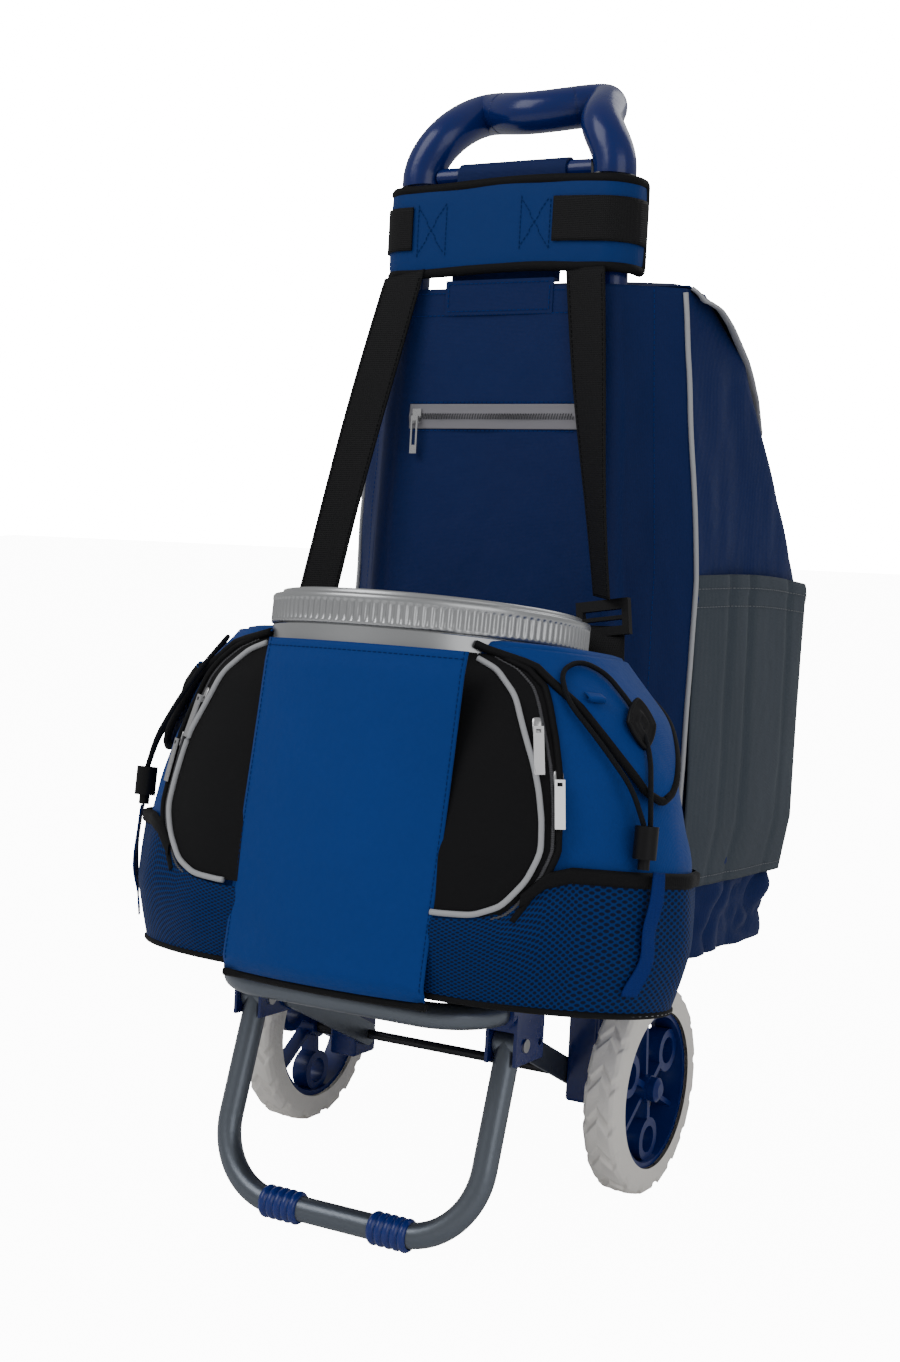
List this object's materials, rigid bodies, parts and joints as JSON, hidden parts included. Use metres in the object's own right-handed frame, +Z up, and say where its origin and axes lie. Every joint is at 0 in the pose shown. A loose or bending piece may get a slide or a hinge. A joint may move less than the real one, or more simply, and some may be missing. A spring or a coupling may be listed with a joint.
{
  "type": "shopping trolley",
  "caption": "Folding two-wheeled trolley with a loop handle, a rear cloth bag and a strapped-on cooler bag holding a screw-lid tub.",
  "frame": {"origin": "centre of the bounding box's base, on the ground", "axes": "+Z up, -Y to the front, where the folding leg and the cooler bag are, +X to the right seen from the front, along the axle"},
  "size_m": [0.448, 0.5692, 0.876],
  "materials": {
    "blue_plastic": "glossy moulded blue",
    "blue_paint": "glossy blue powder coat",
    "silver_paint": "silver grey metallic paint",
    "steel": "zinc plated",
    "dark_steel": "dark steel",
    "foam_tyre": "cream foam",
    "silver_plastic": "silver moulded plastic",
    "blue_cloth": "woven polyester",
    "bright_blue_cloth": "woven polyester",
    "grey_cloth": "woven polyester",
    "black_cloth": "woven polyester",
    "mesh_cloth": "open knitted mesh over blue cloth",
    "webbing": "ribbed webbing",
    "board": "stiffener board",
    "black_plastic": "moulded acetal",
    "elastic": "flecked elastic cord",
    "zip_metal": "nickel plated",
    "gasket": "soft seal"
  },
  "bodies": {
    "trolley": {"axle": "dark_steel", "axle_bracket_left": "blue_plastic", "axle_bracket_right": "blue_plastic", "axle_nuts": "steel", "badges": "black_plastic", "compartment_flap_left": "bright_blue_cloth", "compartment_flap_right": "bright_blue_cloth", "compartment_left": "black_cloth", "compartment_right": "black_cloth", "cooler_front_panel": "bright_blue_cloth", "cord_lock_left": "black_plastic", "cord_lock_right": "black_plastic", "elastic_cord_left": "elastic", "elastic_cord_right": "elastic", "handle": "blue_plastic", "hanging_loop": "blue_cloth", "leg_bracket_left": "blue_plastic", "leg_bracket_right": "blue_plastic", "leg_pins": "steel", "lower_crossbar": "blue_paint", "mesh_pocket_left": "mesh_cloth", "mesh_pocket_right": "mesh_cloth", "platform_loop": "silver_paint", "pocket_zip": "grey_cloth", "rear_bag": "blue_cloth", "rear_bag_board": "board", "shoulder_pad": "bright_blue_cloth", "shoulder_strap_left": "webbing", "shoulder_strap_right": "webbing", "side_pocket_left": "grey_cloth", "side_pocket_right": "grey_cloth", "strap_adjuster": "black_plastic", "strut_bolts": "steel", "strut_left": "silver_paint", "strut_right": "silver_paint", "tub": "silver_plastic", "tub_wrap": "black_cloth", "upper_crossbar": "blue_paint", "upright_left": "blue_paint", "upright_right": "blue_paint", "wheel_bushes": "black_plastic"},
    "wheel_left": {"wheel_hub_left": "blue_plastic", "tyre_left": "foam_tyre", "hub_cap_left": "blue_plastic"},
    "cord_lock_button_left": {"cord_lock_button_left": "black_plastic"},
    "zip_pull_upper_left": {"zip_pull_upper_left": "zip_metal"},
    "zip_pull_lower_left": {"zip_pull_lower_left": "zip_metal"},
    "wheel_right": {"wheel_hub_right": "blue_plastic", "tyre_right": "foam_tyre", "hub_cap_right": "blue_plastic"},
    "cord_lock_button_right": {"cord_lock_button_right": "black_plastic"},
    "zip_pull_upper_right": {"zip_pull_upper_right": "zip_metal"},
    "zip_pull_lower_right": {"zip_pull_lower_right": "zip_metal"},
    "front_leg": {"leg_frame": "silver_paint", "foot_pads": "blue_plastic"},
    "lid_gasket": {"lid_gasket": "gasket"},
    "tub_lid": {"tub_lid": "silver_plastic"},
    "bag_cover": {"bag_cover": "grey_cloth"},
    "pocket_zip_slider": {"pocket_zip_slider": "zip_metal"},
    "pocket_zip_pull": {"pocket_zip_pull": "zip_metal"}
  },
  "joints": [
    {"name": "wheel_spin_left", "type": "hinge", "parent": "trolley", "child": "wheel_left", "pos_m": [-0.185, -0.00475, 0.0825], "axis": [1, 0, 0], "continuous": true},
    {"name": "wheel_spin_right", "type": "hinge", "parent": "trolley", "child": "wheel_right", "pos_m": [0.129, -0.00475, 0.0825], "axis": [1, 0, 0], "continuous": true},
    {"name": "leg_fold", "type": "hinge", "parent": "trolley", "child": "front_leg", "pos_m": [-0.028, -0.14375, 0.15], "axis": [1, 0, 0], "range_deg": [0, 68]},
    {"name": "lid_turn", "type": "hinge", "parent": "trolley", "child": "lid_gasket", "pos_m": [0, -0.11701, 0.45461], "axis": [0, 0.1822, 0.9833], "continuous": true},
    {"name": "lid_lift", "type": "slide", "parent": "lid_gasket", "child": "tub_lid", "axis": [0, 0.1822, 0.9833], "range_m": [0, 0.05]},
    {"name": "cover_open", "type": "hinge", "parent": "trolley", "child": "bag_cover", "pos_m": [-0.028, 0.07444, 0.70886], "axis": [1, 0, 0], "range_deg": [0, 75]},
    {"name": "pocket_zip_slide", "type": "slide", "parent": "trolley", "child": "pocket_zip_slider", "axis": [1, 0, 0], "range_m": [0, 0.12]},
    {"name": "pocket_pull_swing", "type": "hinge", "parent": "pocket_zip_slider", "child": "pocket_zip_pull", "pos_m": [-0.097, 0.01927, 0.60451], "axis": [-1, 0, 0], "range_deg": [0, 120]},
    {"name": "cord_lock_press_left", "type": "slide", "parent": "trolley", "child": "cord_lock_button_left", "axis": [0, 0.1822, 0.9833], "range_m": [0, 0.004], "stiffness_N_per_m": 600},
    {"name": "zip_pull_swing_upper_left", "type": "hinge", "parent": "trolley", "child": "zip_pull_upper_left", "pos_m": [-0.14088, -0.21623, 0.39571], "axis": [-0.848, 0.521, -0.0966], "range_deg": [0, 60]},
    {"name": "zip_pull_swing_lower_left", "type": "hinge", "parent": "trolley", "child": "zip_pull_lower_left", "pos_m": [-0.15927, -0.22027, 0.36188], "axis": [-0.788, 0.6054, -0.1122], "range_deg": [0, 60]},
    {"name": "cord_lock_press_right", "type": "slide", "parent": "trolley", "child": "cord_lock_button_right", "axis": [0, 0.1822, 0.9833], "range_m": [0, 0.004], "stiffness_N_per_m": 600},
    {"name": "zip_pull_swing_upper_right", "type": "hinge", "parent": "trolley", "child": "zip_pull_upper_right", "pos_m": [0.14088, -0.21623, 0.39571], "axis": [-0.848, -0.521, 0.0966], "range_deg": [0, 60]},
    {"name": "zip_pull_swing_lower_right", "type": "hinge", "parent": "trolley", "child": "zip_pull_lower_right", "pos_m": [0.15927, -0.22027, 0.36188], "axis": [-0.788, -0.6054, 0.1122], "range_deg": [0, 60]}
  ]
}
